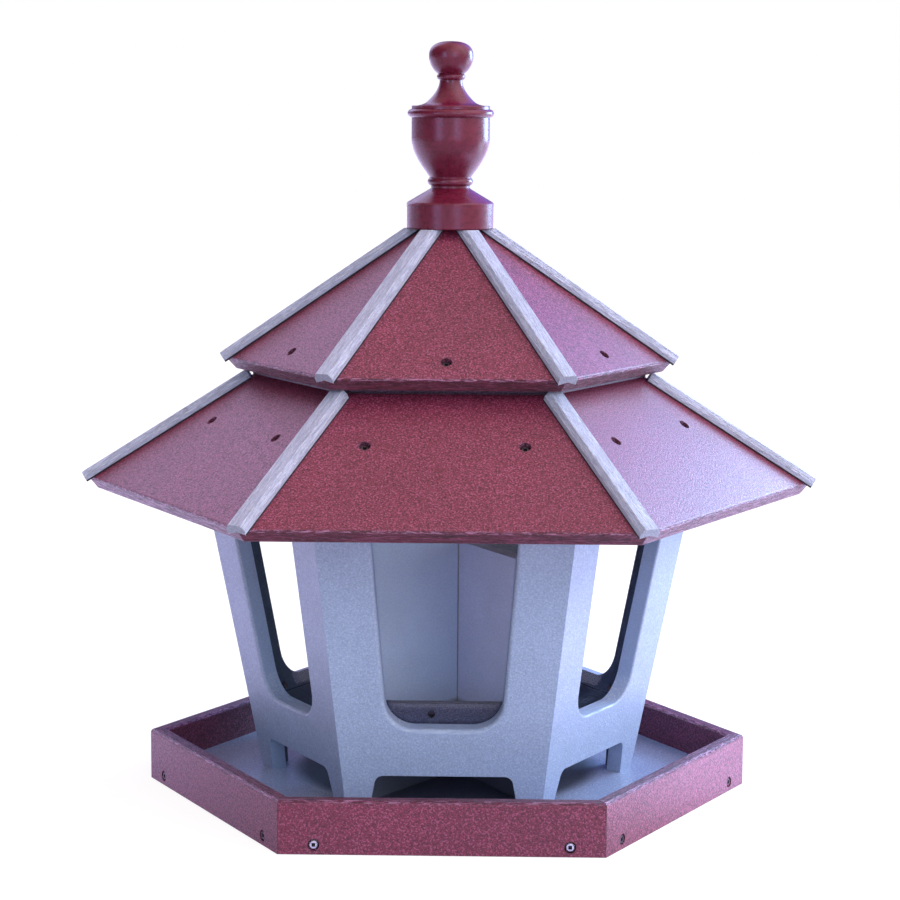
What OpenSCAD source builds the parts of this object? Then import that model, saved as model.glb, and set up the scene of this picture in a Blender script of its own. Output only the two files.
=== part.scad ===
// Six-sided hopper bird feeder made from recycled plastic lumber, with a lift-off upper roof.
// Z is up, the front faces minus Y, and the feeder rests on Z = 0. All sizes are in millimetres.

/* [Boards] */
// thickness of every plastic board
board = 12.7; // [12:0.1:13.4]
// radius of the softened board edges
soft = 2.4; // [1:0.1:3.2]

/* [Tray] */
// distance from the axis to an outer corner of the tray
tray_corner = 247; // [243:1:256]
// height of the tray rails
rail_height = 42; // [36:1:50]
// radius on the top edges of the rails
rail_soft = 3.2; // [1:0.1:4]
// height of the rail screws above the rest face
rail_screw_z = 7.5; // [6.8:0.1:7.8]
// distance of a rail screw from the end of its rail
rail_screw_end = 27; // [22:1:34]

/* [Hopper] */
// distance from the axis to the outer face of a hopper panel where it meets the floor
hopper_foot = 132.9; // [131:0.1:135]
// outward lean of the hopper panels in degrees
lean = 9.9; // [9.4:0.1:10.4]
// height of a window opening above the floor, along the panel
window_foot = 67.5; // [64:0.5:72]
// height of a window opening, along the panel
window_tall = 176; // [165:1:180]
// half width of a window opening at its foot
window_foot_half = 44; // [40:0.5:46]
// half width of a window opening at its head
window_head_half = 57.5; // [52:0.5:60]
// radius in the corners of a window opening
window_round = 24; // [16:1:27]
// height of a feed slot
slot_tall = 28.6; // [22:0.2:32]
// half width of a feed slot at its head
slot_head_half = 53; // [48:0.5:54]
// half width of a feed slot at its foot
slot_foot_half = 58; // [55:0.5:58.5]
// radius in the upper corners of a feed slot
slot_round = 7; // [4:0.5:9]
// thickness of the clear window panes
pane = 3; // [2.5:0.1:4]
// overlap of a pane beyond its window opening
pane_margin = 12; // [11:0.5:13]
// height of the cleat behind the front pane
cleat_tall = 18; // [16:1:24]
// thickness of the cleat behind the front pane
cleat_thick = 6; // [5:0.5:8]

/* [Divider] */
// sideways position of the corner between the two divider leaves
corner_x = 8.9; // [6:0.1:11]
// distance of that corner in front of the axis
corner_front = 14; // [12:0.5:17]
// direction of the right leaf, in degrees clockwise from straight to the front
right_turn = -30; // [-31:0.5:-29]
// direction of the left leaf, in degrees clockwise from straight to the front
left_turn = 35.7; // [34.7:0.5:36.7]
// height of the right leaf above the floor
right_leaf_tall = 193; // [180:1:200]
// height of the left leaf above the floor
left_leaf_tall = 240; // [225:1:245]
// gap between a leaf and the inside of the hopper
leaf_gap = 1; // [0.5:0.1:2]

/* [Lower roof] */
// distance from the axis to the top edge of a lower roof eave
lower_eave = 256.5; // [252:0.5:262]
// height of that edge above the rest face
lower_eave_z = 253.8; // [252:0.1:256]
// slope of the lower roof in degrees
lower_slope = 36.3; // [35.9:0.1:36.7]
// distance of the lower roof screws inside the outer face of the hopper panels
lower_screw_in = 4.8; // [4.4:0.1:5.4]
// sideways distance of the lower roof screws from the middle of a panel
lower_screw_side = 60; // [50:1:64]

/* [Lid] */
// distance from the axis to the top edge of an upper roof eave
upper_eave = 157.7; // [155:0.1:161]
// slope of the upper roof in degrees
upper_slope = 38.3; // [37.9:0.1:38.7]
// distance from the axis to the outer face of the lid ring
ring_out = 139; // [137:0.5:141]
// height of the lid ring between the two roofs at its outer face
ring_tall = 12; // [11.6:0.1:16]
// width of the lid ring
ring_wide = 19; // [16:1:22]
// width of the lower roof inside the lid ring
ring_ledge = 8; // [4:1:12]
// distance of the upper roof screws inside the outer face of the lid ring
upper_screw_in = 4.5; // [4:0.1:6]
// gap between the lid ring and the lower roof
lid_gap = 0.35; // [0.3:0.05:0.6]
// distance from the axis to the inner edge of the upper roof panels
apex_hole = 12; // [10:0.5:14]
// distance from the axis to the edge of the flat that the finial stands on
apex_flat = 22.6; // [20:0.2:24]
// height of the block under the apex
block_tall = 21; // [16:1:26]
// distance from the axis to a side of that block
block_half = 30; // [24:1:34]

/* [Battens] */
// width of a ridge batten
batten_wide = 16; // [14:0.5:18]
// height of a ridge batten above the hip line
batten_tall = 6.4; // [5:0.1:7]
// width of the flat top of a ridge batten
batten_flat = 11; // [8:0.5:12]
// height of the upright sides of a ridge batten
batten_side = 2.2; // [1:0.1:3]

/* [Finial] */
// radius of the finial base
finial_r = 35.2; // [34:0.1:37]
// diameter of the rod through the finial
rod_d = 6.4; // [6:0.1:7]
// depth of the rod in the finial
rod_deep = 36; // [25:1:45]

/* [Screws] */
// diameter of a board screw shank
shank_d = 4.2; // [3.8:0.1:4.4]
// diameter of a board screw head
head_d = 8; // [7.4:0.1:8.2]
// height of a board screw head
head_tall = 2.6; // [2.2:0.1:2.8]
// diameter of the recess round a screw head
recess_d = 8.8; // [8.6:0.1:9.6]
// depth of the recess round a rail or floor screw head
recess = 3.2; // [3:0.1:3.6]
// depth of the recess round a roof screw head
roof_recess = 5.5; // [4.5:0.1:6]
// radial room round a screw shank in its hole
hole_room = 0.1; // [0.05:0.05:0.2]
// diameter of a pane screw shank
small_d = 3; // [2.6:0.1:3.2]

/* [Hidden] */

red = [0.45, 0.09, 0.10];
grey = [0.62, 0.66, 0.72];
dark = [0.16, 0.15, 0.19];
clear = [0.85, 0.92, 0.95, 0.35];
steel = [0.75, 0.76, 0.78];

far = 600;
fine = 0.01;
half_turn = 30;
hole_d = shank_d + 2 * hole_room;
small_hole_d = small_d + 2 * hole_room;
under_head = board - recess;
under_roof_head = board - roof_recess;
closed_side = 3;

tray_face = tray_corner * cos(half_turn);
floor_face = tray_face - board;
floor_top = board;
rail_screw_deep = 16;
rail_screw_side = tray_corner / 2 - rail_screw_end;

hopper_rise = tan(lean);
lower_rise = tan(lower_slope);
upper_rise = tan(upper_slope);
lower_drop = board / cos(lower_slope);
upper_drop = board / cos(upper_slope);
hopper_top = (lower_eave_z - lower_drop
    + (lower_eave - hopper_foot + hopper_rise * floor_top) * lower_rise)
    / (1 + hopper_rise * lower_rise);
hopper_top_at = hopper_foot + hopper_rise * (hopper_top - floor_top);
panel_tall = (hopper_top - floor_top) / cos(lean) + 2 * board;
foot_screw_deep = 14;
foot_screw_side = slot_foot_half + 7.5;
foot_screw_at = hopper_foot - 5.2;
window_flare = (window_head_half - window_foot_half) / window_tall;
slot_flare = (slot_head_half - slot_foot_half) / slot_tall;
slot_below = 2 * board;
pane_low = window_foot - pane_margin;
pane_high = window_foot + window_tall + pane_margin;
pane_screw_in = 5.5;
small_screw_deep = 8;
cleat_low = window_foot - 2;
cleat_half = window_foot_half + pane_margin + 6;
cleat_screw_side = window_foot_half + pane_margin - 1;
cleat_screw_in = 7;
leaf_reach = 2 * hopper_foot;
leaf_lap = board / sin(left_turn - right_turn) + 2;
leaf_screw_near = 22;
leaf_screw_step = hopper_foot * 0.46;

hopper_screw_deep = 11;
lower_screw_at = hopper_top_at + board * sin(lower_slope) - lower_screw_in;
filling_hole = ring_out - ring_wide - ring_ledge;
lower_long = (lower_eave - filling_hole) / cos(lower_slope) + board;
ring_corner = ring_out / cos(half_turn);
batten_gap = 1.8;
batten_over = 1.5;
batten_deep = 8;

upper_eave_z = lower_eave_z + (lower_eave - ring_out) * lower_rise
    + ring_tall + upper_drop - (upper_eave - ring_out) * upper_rise;
upper_long = (upper_eave - apex_hole) / cos(upper_slope) + board;
upper_screw_at = ring_out + board * sin(upper_slope) - upper_screw_in;
ring_screw_deep = 7;
finial_z = upper_eave_z + (upper_eave - apex_flat) * upper_rise;
block_high = upper_eave_z + (upper_eave - apex_hole) * upper_rise - upper_drop - 1;
block_low = block_high - block_tall;
nut_tall = 5.6;
nut_across = 11.2;
washer_d = 22;
washer_tall = 1.6;
rod_foot = block_low - washer_tall - nut_tall - 5;

// turns a piece drawn at the front to side number k, counted anticlockwise from above
module side(k) {
    rotate([0, 0, 60 * k]) children();
}

// upright prism over one sixth of the hexagon, between two distances from the axis
module sector(out, inner) {
    out_half = out * tan(half_turn);
    in_half = inner * tan(half_turn);
    translate([0, 0, -fine])
        linear_extrude(far)
            polygon([[-out_half, -out], [out_half, -out], [in_half, -inner], [-in_half, -inner]]);
}

// rectangle with two rounded corners on its first edge
module soft_end(long, tall, r) {
    union() {
        translate([r, 0]) square([long - r, tall]);
        translate([0, r]) square([r + fine, tall - 2 * r]);
        translate([r, r]) circle(r, $fn = 48);
        translate([r, tall - r]) circle(r, $fn = 48);
    }
}

// rectangle with two rounded corners on its upper edge
module soft_top(wide, tall, r) {
    union() {
        square([wide, tall - r]);
        translate([r, 0]) square([wide - 2 * r, tall]);
        translate([r, tall - r]) circle(r, $fn = 48);
        translate([wide - r, tall - r]) circle(r, $fn = 48);
    }
}

// puts a flat piece on the outer face of the front hopper panel, Y up the panel, Z out of it
module on_panel() {
    translate([0, -hopper_foot, floor_top]) rotate([90 + lean, 0, 0]) children();
}

// puts a piece on the lower roof face at a given distance from the axis, Z out of the roof
module on_lower(x, at) {
    translate([x, -at, lower_eave_z + (lower_eave - at) * lower_rise])
        rotate([lower_slope, 0, 0]) children();
}

// puts a piece on the upper roof face at a given distance from the axis, Z out of the roof
module on_upper(x, at) {
    translate([x, -at, upper_eave_z + (upper_eave - at) * upper_rise])
        rotate([upper_slope, 0, 0]) children();
}

// board screw with its head seat at Z = 0 and its point down
module board_screw(deep) {
    difference() {
        union() {
            cylinder(h = head_tall - 1, d = head_d, $fn = 32);
            translate([0, 0, head_tall - 1]) cylinder(h = 1, d1 = head_d, d2 = head_d - 2.4, $fn = 32);
        }
        translate([0, 0, head_tall - 0.4]) cube([2.8, 2.8, 3.4], center = true);
    }
    translate([0, 0, 2 - deep]) cylinder(h = deep - 2, d = shank_d, $fn = 24);
    translate([0, 0, -deep]) cylinder(h = 2, d1 = 1.2, d2 = shank_d, $fn = 24);
}

// pane screw with its head seat at Z = 0 and its point down
module pane_screw(deep) {
    cylinder(h = 1.8, d1 = 6, d2 = 4.8, $fn = 20);
    translate([0, 0, -deep]) cylinder(h = deep, d = small_d, $fn = 20);
}

// the two holes a board screw needs, drawn from the outer face of the outer board
module screw_cut(deep, sink = recess) {
    translate([0, 0, -sink]) cylinder(h = sink + 1, d = recess_d, $fn = 32);
    translate([0, 0, -sink - deep - 0.6]) cylinder(h = deep + 1, d = hole_d, $fn = 24);
}

// positions of the rail screws on the front rail, Z out of the rail
module at_rail_screws() {
    for (s = [-1, 1])
        translate([s * rail_screw_side, -tray_face, rail_screw_z]) rotate([90, 0, 0]) children();
}

// positions of the screws up into the feet of the front hopper panel, Z down out of the floor
module at_foot_screws() {
    for (s = [-1, 1])
        translate([s * foot_screw_side, -foot_screw_at, 0]) rotate([180, 0, 0]) children();
}

// moves a piece to the divider corner with Y running back along a leaf
module at_leaf(turn) {
    translate([corner_x, -corner_front, 0]) rotate([0, 0, -turn]) children();
}

// positions of the screws up into the divider leaves, Z down out of the floor
module at_leaf_screws() {
    for (y = [-leaf_screw_near, -leaf_screw_near - leaf_screw_step]) {
        at_leaf(right_turn) translate([board / 2, y, 0]) rotate([180, 0, 0]) children();
        at_leaf(left_turn) translate([-board / 2, y - board / 2, 0]) rotate([180, 0, 0]) children();
    }
}

// positions of the screws through the lower roof into the front hopper panel
module at_lower_screws() {
    for (s = [-1, 1])
        on_lower(s * lower_screw_side, lower_screw_at) children();
}

// positions of the pane screws behind the front hopper panel, Z into the hopper
module at_pane_screws() {
    low_half = window_foot_half + pane_margin - pane_screw_in;
    high_half = window_head_half + pane_margin - pane_screw_in;
    on_panel()
        for (s = [-1, 1]) {
            translate([s * low_half, pane_low + pane_screw_in, -board - pane])
                rotate([180, 0, 0]) children();
            translate([s * high_half, pane_high - pane_screw_in, -board - pane])
                rotate([180, 0, 0]) children();
        }
}

// positions of the cleat screws behind the front hopper panel, Z into the hopper
module at_cleat_screws() {
    on_panel()
        for (s = [-1, 1])
            translate([
                s * cleat_screw_side,
                cleat_low + cleat_tall - cleat_screw_in,
                -board - pane - cleat_thick
            ])
                rotate([180, 0, 0]) children();
}

module tray_floor() {
    color(grey)
        difference() {
            cylinder(h = board, r = floor_face / cos(half_turn), $fn = 6);
            for (k = [0 : 5]) {
                side(k) at_rail_screws() screw_cut(under_head + rail_screw_deep);
                side(k) at_foot_screws() screw_cut(under_head + foot_screw_deep);
            }
            at_leaf_screws() screw_cut(under_head + foot_screw_deep);
        }
}

// one tray rail with mitred ends
module rail(k) {
    color(red)
        side(k)
            difference() {
                intersection() {
                    translate([0, -tray_face, 0])
                        rotate([90, 0, 90])
                            linear_extrude(tray_corner + 4, center = true)
                                soft_top(board, rail_height, rail_soft);
                    sector(tray_face + 1, floor_face - 1);
                }
                at_rail_screws() screw_cut(under_head + rail_screw_deep);
            }
}

module rail_front() { rail(0); }
module rail_front_right() { rail(1); }
module rail_rear_right() { rail(2); }
module rail_rear() { rail(3); }
module rail_rear_left() { rail(4); }
module rail_front_left() { rail(5); }

module rail_screws() {
    color(steel)
        for (k = [0 : 5])
            side(k) at_rail_screws()
                translate([0, 0, -recess]) board_screw(under_head + rail_screw_deep);
}

module floor_screws() {
    color(steel) {
        for (k = [0 : 5])
            side(k) at_foot_screws()
                translate([0, 0, -recess]) board_screw(under_head + foot_screw_deep);
        at_leaf_screws() translate([0, 0, -recess]) board_screw(under_head + foot_screw_deep);
    }
}

// four-sided outline with leaning sides and rounded corners
module flared(low, high, low_half, flare, r) {
    high_half = low_half + flare * (high - low);
    slant = sqrt(1 + flare * flare);
    low_x = low_half + flare * r - r * slant;
    high_x = high_half - flare * r - r * slant;
    union() {
        polygon([
            [-low_x, low], [low_x, low],
            [low_x + r / slant, low + r - r * flare / slant],
            [high_x + r / slant, high - r - r * flare / slant],
            [high_x, high], [-high_x, high],
            [-high_x - r / slant, high - r - r * flare / slant],
            [-low_x - r / slant, low + r - r * flare / slant]
        ]);
        for (s = [-1, 1]) {
            translate([s * low_x, low + r]) circle(r, $fn = 64);
            translate([s * high_x, high - r]) circle(r, $fn = 64);
        }
    }
}

// one leaning hopper panel with its feed slot and, all but one, a window opening
module hopper_panel(k) {
    color(grey)
        side(k)
            difference() {
                intersection() {
                    on_panel()
                        translate([0, 0, -board])
                            linear_extrude(board)
                                difference() {
                                    translate([-far / 2, -board]) square([far, panel_tall]);
                                    if (k != closed_side)
                                        flared(window_foot, window_foot + window_tall,
                                            window_foot_half, window_flare, window_round);
                                    flared(-slot_below, slot_tall,
                                        slot_foot_half - slot_flare * slot_below,
                                        slot_flare, slot_round);
                                }
                    sector(far / 2, 10);
                    translate([-far / 2, -far, floor_top]) cube([far, far, far]);
                }
                on_lower(0, lower_eave)
                    translate([-far / 2, -far / 2, -board]) cube([far, far, far / 2]);
                at_foot_screws() screw_cut(under_head + foot_screw_deep);
                at_lower_screws() screw_cut(under_roof_head + hopper_screw_deep, roof_recess);
                if (k != closed_side)
                    at_pane_screws()
                        translate([0, 0, -pane - small_screw_deep])
                            cylinder(h = small_screw_deep + 1, d = small_hole_d, $fn = 24);
                if (k == 0)
                    at_cleat_screws()
                        translate([0, 0, -pane - cleat_thick - small_screw_deep])
                            cylinder(h = small_screw_deep + 1, d = small_hole_d, $fn = 24);
            }
}

module panel_front() { hopper_panel(0); }
module panel_front_right() { hopper_panel(1); }
module panel_rear_right() { hopper_panel(2); }
module panel_rear() { hopper_panel(3); }
module panel_rear_left() { hopper_panel(4); }
module panel_front_left() { hopper_panel(5); }

// one clear pane behind a window opening
module window_pane(k) {
    low_half = window_foot_half + pane_margin;
    color(clear)
        side(k)
            difference() {
                on_panel()
                    translate([0, 0, -board - pane])
                        linear_extrude(pane)
                            polygon([
                                [-low_half, pane_low], [low_half, pane_low],
                                [window_head_half + pane_margin, pane_high],
                                [-window_head_half - pane_margin, pane_high]
                            ]);
                at_pane_screws()
                    translate([0, 0, -pane - 1])
                        cylinder(h = pane + 2, d = small_hole_d, $fn = 24);
                if (k == 0)
                    at_cleat_screws()
                        translate([0, 0, -pane - cleat_thick - 1])
                            cylinder(h = pane + 2, d = small_hole_d, $fn = 24);
            }
}

module pane_front() { window_pane(0); }
module pane_front_right() { window_pane(1); }
module pane_rear_right() { window_pane(2); }
module pane_rear_left() { window_pane(4); }
module pane_front_left() { window_pane(5); }

module pane_screws() {
    color(steel) {
        for (k = [0 : 5])
            if (k != closed_side)
                side(k) at_pane_screws() pane_screw(pane + small_screw_deep - 0.6);
        at_cleat_screws() pane_screw(pane + cleat_thick + small_screw_deep - 0.6);
    }
}

// low strip that holds the foot of the front pane
module pane_cleat() {
    color(dark)
        difference() {
            on_panel()
                translate([0, 0, -board - pane - cleat_thick])
                    linear_extrude(cleat_thick)
                        difference() {
                            translate([-cleat_half, cleat_low]) square([2 * cleat_half, cleat_tall]);
                            translate([-10, cleat_low + cleat_tall / 2]) circle(d = 6, $fn = 32);
                        }
            at_cleat_screws()
                translate([0, 0, -cleat_thick - 1])
                    cylinder(h = cleat_thick + 2, d = small_hole_d, $fn = 24);
        }
}

// everything on the inner side of hopper panel k
module inside_panel(k) {
    side(k) on_panel()
        translate([-far, -far, -2 * far - board - leaf_gap]) cube([2 * far, 2 * far, 2 * far]);
}

// keeps a divider leaf clear of the leaning hopper panels
module inside_hopper() {
    intersection() {
        children();
        inside_panel(0);
        inside_panel(1);
        inside_panel(5);
    }
}

module divider_right() {
    color(grey)
        difference() {
            inside_hopper()
                at_leaf(right_turn)
                    translate([0, -leaf_reach, floor_top])
                        cube([board, leaf_reach + leaf_lap, right_leaf_tall]);
            at_leaf_screws() screw_cut(under_head + foot_screw_deep);
        }
}

module divider_left() {
    color(grey)
        difference() {
            inside_hopper()
                at_leaf(left_turn)
                    translate([-board, -leaf_reach, floor_top])
                        cube([board, leaf_reach + 2 * board, left_leaf_tall]);
            at_leaf(right_turn) translate([0, -far, 0]) cube([far, 2 * far, far]);
            at_leaf_screws() screw_cut(under_head + foot_screw_deep);
        }
}

// one panel of the lower roof with mitred sides
module lower_panel(k) {
    color(red)
        side(k)
            difference() {
                intersection() {
                    on_lower(0, lower_eave)
                        translate([0, 0, -board])
                            rotate([90, 0, 90])
                                linear_extrude(far, center = true)
                                    soft_end(lower_long, board, soft);
                    sector(lower_eave + 5, filling_hole);
                }
                at_lower_screws() screw_cut(under_roof_head + hopper_screw_deep, roof_recess);
            }
}

module lower_front() { lower_panel(0); }
module lower_front_right() { lower_panel(1); }
module lower_rear_right() { lower_panel(2); }
module lower_rear() { lower_panel(3); }
module lower_rear_left() { lower_panel(4); }
module lower_front_left() { lower_panel(5); }

module lower_screws() {
    color(steel)
        for (k = [0 : 5])
            side(k) at_lower_screws()
                translate([0, 0, -roof_recess]) board_screw(under_roof_head + hopper_screw_deep);
}

// section of a ridge batten, with its foot below the hip line
module batten_section() {
    polygon([
        [-batten_wide / 2, -batten_deep], [batten_wide / 2, -batten_deep],
        [batten_wide / 2, batten_side],
        [batten_flat / 2, batten_tall], [-batten_flat / 2, batten_tall],
        [-batten_wide / 2, batten_side]
    ]);
}

// bar along the hip to the right corner, from one distance to another, on a roof of given slope
module hip_bar(eave, eave_z, rise, from, to) {
    tilt = atan(rise * cos(half_turn));
    corner = eave / cos(half_turn);
    translate([corner, 0, eave_z])
        rotate([0, tilt, 0])
            translate([(from - corner) / cos(tilt), 0, 0])
                rotate([90, 0, 90])
                    linear_extrude((to - from) / cos(tilt)) batten_section();
}

// space under both roof faces that meet at the right hip
module under_hip(eave, eave_z, slope) {
    intersection() {
        for_roof(60, eave, eave_z, slope);
        for_roof(120, eave, eave_z, slope);
    }
}

// space under one roof face, turned by an angle about the axis
module for_roof(turn, eave, eave_z, slope) {
    rotate([0, 0, turn])
        translate([0, -eave, eave_z])
            rotate([slope, 0, 0])
                translate([-far, -far, -far]) cube([2 * far, 2 * far, far]);
}

// one ridge batten of the lower roof, for corner k counted anticlockwise from the right
module lower_batten(k) {
    color(grey)
        side(k)
            difference() {
                hip_bar(lower_eave, lower_eave_z, lower_rise,
                    ring_corner + batten_gap, lower_eave / cos(half_turn) + batten_over);
                under_hip(lower_eave, lower_eave_z, lower_slope);
            }
}

module lower_batten_right() { lower_batten(0); }
module lower_batten_rear_right() { lower_batten(1); }
module lower_batten_rear_left() { lower_batten(2); }
module lower_batten_left() { lower_batten(3); }
module lower_batten_front_left() { lower_batten(4); }
module lower_batten_front_right() { lower_batten(5); }

module lid_ring() {
    color(grey)
        difference() {
            union() {
                for (k = [0 : 5])
                    side(k)
                        difference() {
                            sector(ring_out, ring_out - ring_wide);
                            on_lower(0, lower_eave)
                                translate([-far, -far, lid_gap - far]) cube([2 * far, 2 * far, far]);
                            on_upper(0, upper_eave)
                                translate([-far, -far, -board]) cube([2 * far, 2 * far, far]);
                        }
            }
            for (k = [0 : 5])
                side(k) on_upper(0, upper_screw_at) screw_cut(under_roof_head + ring_screw_deep, roof_recess);
        }
}

// one panel of the upper roof with mitred sides
module upper_panel(k) {
    color(red)
        side(k)
            difference() {
                intersection() {
                    on_upper(0, upper_eave)
                        translate([0, 0, -board])
                            rotate([90, 0, 90])
                                linear_extrude(far, center = true)
                                    soft_end(upper_long, board, soft);
                    sector(upper_eave + 5, apex_hole);
                    translate([-far / 2, -far, 0]) cube([far, 2 * far, finial_z]);
                }
                on_upper(0, upper_screw_at) screw_cut(under_roof_head + ring_screw_deep, roof_recess);
            }
}

module upper_front() { upper_panel(0); }
module upper_front_right() { upper_panel(1); }
module upper_rear_right() { upper_panel(2); }
module upper_rear() { upper_panel(3); }
module upper_rear_left() { upper_panel(4); }
module upper_front_left() { upper_panel(5); }

module upper_screws() {
    color(steel)
        for (k = [0 : 5])
            side(k) on_upper(0, upper_screw_at)
                translate([0, 0, -roof_recess]) board_screw(under_roof_head + ring_screw_deep);
}

// one ridge batten of the upper roof, for corner k counted anticlockwise from the right
module upper_batten(k) {
    color(grey)
        side(k)
            intersection() {
                difference() {
                    hip_bar(upper_eave, upper_eave_z, upper_rise,
                        batten_wide, upper_eave / cos(half_turn) + batten_over);
                    under_hip(upper_eave, upper_eave_z, upper_slope);
                }
                translate([0, 0, finial_z - far]) cube([2 * far, 2 * far, 2 * far], center = true);
            }
}

module upper_batten_right() { upper_batten(0); }
module upper_batten_rear_right() { upper_batten(1); }
module upper_batten_rear_left() { upper_batten(2); }
module upper_batten_left() { upper_batten(3); }
module upper_batten_front_left() { upper_batten(4); }
module upper_batten_front_right() { upper_batten(5); }

// block under the apex that the finial rod clamps
module apex_block() {
    color(grey)
        difference() {
            intersection() {
                translate([0, 0, block_low])
                    cylinder(h = block_high - block_low, r = block_half / cos(half_turn), $fn = 6);
                under_lid();
            }
            translate([0, 0, block_low - 1])
                cylinder(h = 60, d = rod_d + 2 * hole_room, $fn = 48);
        }
}

// everything below the undersides of the upper roof panels
module under_lid() {
    intersection_for(k = [0 : 5])
        side(k) on_upper(0, upper_eave)
            translate([-far, -far, -board - 2 * far]) cube([2 * far, 2 * far, 2 * far]);
}

// half outline of the turned finial below its ball, radius first, height above its foot second
module finial_half() {
    base_top = 21;
    shoulder_top = 32.2;
    groove_r = 15.6;
    foot_top = 41.4;
    foot_r = 16.9;
    bowl_top = 72.6;
    bowl_r = 31.5;
    ring_mid = 92.3;
    ring_half = 3.3;
    disc_top = 98.5;
    stem_top = 118.2;
    stem_r = 9.1;
    stem_flare = 14;
    stem_skirt = 7.6;
    collar_mid = 121.5;
    collar_half = 2.7;
    steps = 14;
    stem_steps = 24;
    bowl = [for (i = [0 : steps])
        [foot_r + (bowl_r - foot_r) * sin(90 * i / steps),
            foot_top + (bowl_top - foot_top) * i / steps]];
    stem = [for (i = [0 : stem_steps])
        let (t = pow(i / stem_steps, 1.6))
            [stem_r + stem_flare * pow(1 - t, 1.8) + stem_skirt * pow(1 - t, 24),
                disc_top - 0.4 + (stem_top - disc_top + 0.4) * t]];
    union() {
        polygon([
            [0, 0], [finial_r - 0.8, 0], [finial_r, 0.8], [finial_r, base_top - 0.8],
            [finial_r - 1, base_top + 0.3], [groove_r + 1.2, shoulder_top - 0.6],
            [groove_r, shoulder_top + 0.4], [groove_r, foot_top], [0, foot_top]
        ]);
        translate([groove_r - 0.9, (shoulder_top + foot_top) / 2 + 0.9])
            circle(3.6, $fn = 48);
        polygon(concat([[0, foot_top - 1], [foot_r, foot_top - 1]], bowl,
            [[bowl_r, disc_top - 0.6], [bowl_r - 0.6, disc_top], [0, disc_top]]));
        translate([bowl_r, ring_mid]) circle(ring_half, $fn = 48);
        polygon(concat([[0, disc_top - 1], [stem[0][0], disc_top - 1]], stem,
            [[stem_r, collar_mid + 4], [0, collar_mid + 4]]));
        translate([stem_r - 0.4, collar_mid]) circle(collar_half, $fn = 48);
    }
}

module finial() {
    color(red)
        difference() {
            translate([0, 0, finial_z])
                rotate_extrude($fn = 96)
                    finial_profile();
            translate([0, 0, finial_z - 1])
                cylinder(h = rod_deep + 2, d = rod_d + 2 * hole_room, $fn = 48);
        }
}

// whole half outline with the ball on top, flatter above than below
module finial_profile() {
    ball_r = 17.8;
    ball_over = 11.8;
    ball_under = 17.7;
    ball_mid = 138;
    steps = 12;
    under = [for (i = [0 : steps - 1])
        let (a = -56 + 56 * i / steps) [ball_r * cos(a), ball_mid + ball_under * sin(a)]];
    over = [for (i = [0 : 2 * steps])
        let (a = 45 * i / steps) [ball_r * pow(cos(a), 0.8), ball_mid + ball_over * pow(sin(a), 0.8)]];
    intersection() {
        union() {
            finial_half();
            polygon(concat([[0, under[0][1]]], under, over));
        }
        square([60, 170]);
    }
}

module finial_rod() {
    color(steel)
        translate([0, 0, rod_foot])
            cylinder(h = finial_z + rod_deep - rod_foot, d = rod_d, $fn = 48);
}

module finial_nut() {
    color(steel)
        difference() {
            union() {
                translate([0, 0, block_low - washer_tall])
                    cylinder(h = washer_tall, d = washer_d, $fn = 64);
                translate([0, 0, block_low - washer_tall - nut_tall])
                    cylinder(h = nut_tall, d = nut_across / cos(half_turn), $fn = 6);
            }
            translate([0, 0, block_low - 20])
                cylinder(h = 40, d = rod_d + 2 * hole_room, $fn = 48);
        }
}

tray_floor();
rail_front();
rail_front_right();
rail_rear_right();
rail_rear();
rail_rear_left();
rail_front_left();
rail_screws();
floor_screws();
panel_front();
panel_front_right();
panel_rear_right();
panel_rear();
panel_rear_left();
panel_front_left();
pane_front();
pane_front_right();
pane_rear_right();
pane_rear_left();
pane_front_left();
pane_screws();
pane_cleat();
divider_left();
divider_right();
lower_front();
lower_front_right();
lower_rear_right();
lower_rear();
lower_rear_left();
lower_front_left();
lower_batten_right();
lower_batten_rear_right();
lower_batten_rear_left();
lower_batten_left();
lower_batten_front_left();
lower_batten_front_right();
lower_screws();
lid_ring();
upper_front();
upper_front_right();
upper_rear_right();
upper_rear();
upper_rear_left();
upper_front_left();
upper_batten_right();
upper_batten_rear_right();
upper_batten_rear_left();
upper_batten_left();
upper_batten_front_left();
upper_batten_front_right();
upper_screws();
apex_block();
finial();
finial_rod();
finial_nut();
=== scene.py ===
"""A six-sided hopper bird feeder of recycled plastic boards, dressed for a studio picture."""

import math
import random

import bmesh
import bpy
from mathutils import Matrix, Vector


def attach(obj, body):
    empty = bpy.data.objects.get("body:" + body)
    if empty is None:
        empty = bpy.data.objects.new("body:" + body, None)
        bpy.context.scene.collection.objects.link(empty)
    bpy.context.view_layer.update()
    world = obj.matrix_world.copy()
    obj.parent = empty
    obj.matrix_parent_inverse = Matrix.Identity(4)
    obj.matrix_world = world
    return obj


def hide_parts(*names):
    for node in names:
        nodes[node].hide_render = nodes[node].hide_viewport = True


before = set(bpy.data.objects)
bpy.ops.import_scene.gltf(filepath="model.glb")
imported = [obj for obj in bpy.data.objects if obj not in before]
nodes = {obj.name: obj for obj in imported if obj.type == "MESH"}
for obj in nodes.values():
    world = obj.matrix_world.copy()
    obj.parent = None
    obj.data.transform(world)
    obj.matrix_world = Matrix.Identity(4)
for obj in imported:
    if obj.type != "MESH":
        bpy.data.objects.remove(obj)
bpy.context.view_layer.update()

# Names and sizes, in metres
MM = 0.001
SIDES = ["front", "front_right", "rear_right", "rear", "rear_left", "front_left"]
CORNERS = ["right", "rear_right", "rear_left", "left", "front_left", "front_right"]
BOARD_ARRIS = 0.6 * MM
PANEL_ARRIS = 0.7 * MM
RING_ARRIS = 0.5 * MM
BATTEN_ARRIS = 0.35 * MM
WINDOW_ROUND = 6 * MM
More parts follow.
